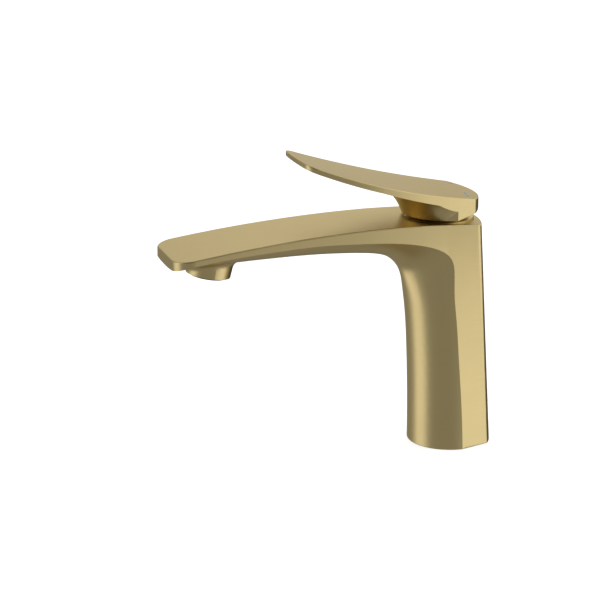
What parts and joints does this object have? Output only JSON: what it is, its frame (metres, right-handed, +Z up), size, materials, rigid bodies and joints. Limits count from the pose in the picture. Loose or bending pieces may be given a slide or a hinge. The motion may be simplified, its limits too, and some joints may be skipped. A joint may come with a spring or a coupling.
{
  "type": "single-lever basin mixer faucet",
  "caption": "Basin mixer with a round column, arched flat-topped spout, broad lever on top, ceramic-disc cartridge and aerator.",
  "frame": {"origin": "middle of the column's round front and of the foot's hollow, on the face that rests on the basin", "axes": "+Z up, -Y the way the spout points, +X towards the cold side"},
  "size_m": [0.0556, 0.1996, 0.1816],
  "materials": {
    "brushed_gold": "brushed brass-gold coating",
    "cover_gold": "brushed brass-gold coating, turned",
    "nut_brass": "bare turned brass",
    "stem_brass": "bare machined brass",
    "black_rubber": "matt moulded rubber",
    "black_plastic": "moulded black plastic",
    "grey_plastic": "moulded grey plastic",
    "white_plastic": "moulded white plastic",
    "slip_plastic": "smooth low-friction plastic",
    "red_plastic": "moulded red plastic",
    "plug_plastic": "gold-coloured cap",
    "ceramic": "lapped white ceramic",
    "pin_steel": "stainless steel"
  },
  "bodies": {
    "faucet": {"body": "brushed_gold", "foot_seal": "black_rubber", "cartridge_base": "black_plastic", "port_seals": "black_rubber", "lower_ceramic_disc": "ceramic", "cartridge_housing": "white_plastic", "housing_o_ring": "black_rubber", "temperature_limit_ring": "red_plastic", "retaining_nut": "nut_brass", "dome_cover": "cover_gold", "dome_slip_ring": "slip_plastic", "aerator_seal": "black_rubber", "aerator_housing": "black_plastic", "aerator_straightener": "white_plastic", "aerator_diffuser": "grey_plastic", "aerator_screen": "pin_steel"},
    "swivel": {"swivel_carrier": "grey_plastic", "stem_pivot_pin": "pin_steel"},
    "lever": {"cartridge_stem": "stem_brass", "lever_handle": "brushed_gold", "handle_set_screw": "pin_steel", "screw_plug": "plug_plastic"},
    "disc": {"disc_driver": "grey_plastic", "upper_ceramic_disc": "ceramic"}
  },
  "joints": [
    {"name": "handle_swivel", "type": "hinge", "parent": "faucet", "child": "swivel", "pos_m": [0, -0.008, 0.132], "axis": [0, 0, 1], "range_deg": [-45, 45]},
    {"name": "handle_lift", "type": "hinge", "parent": "swivel", "child": "lever", "pos_m": [0, -0.008, 0.132], "axis": [-1, 0, 0], "range_deg": [0, 18]},
    {"name": "disc_slide", "type": "slide", "parent": "swivel", "child": "disc", "axis": [0, -1, 0], "range_m": [0, 0.0038]}
  ],
  "couplings": [
    {"joint": "disc_slide", "follows": "handle_lift", "m_per_rad": 0.011951}
  ]
}
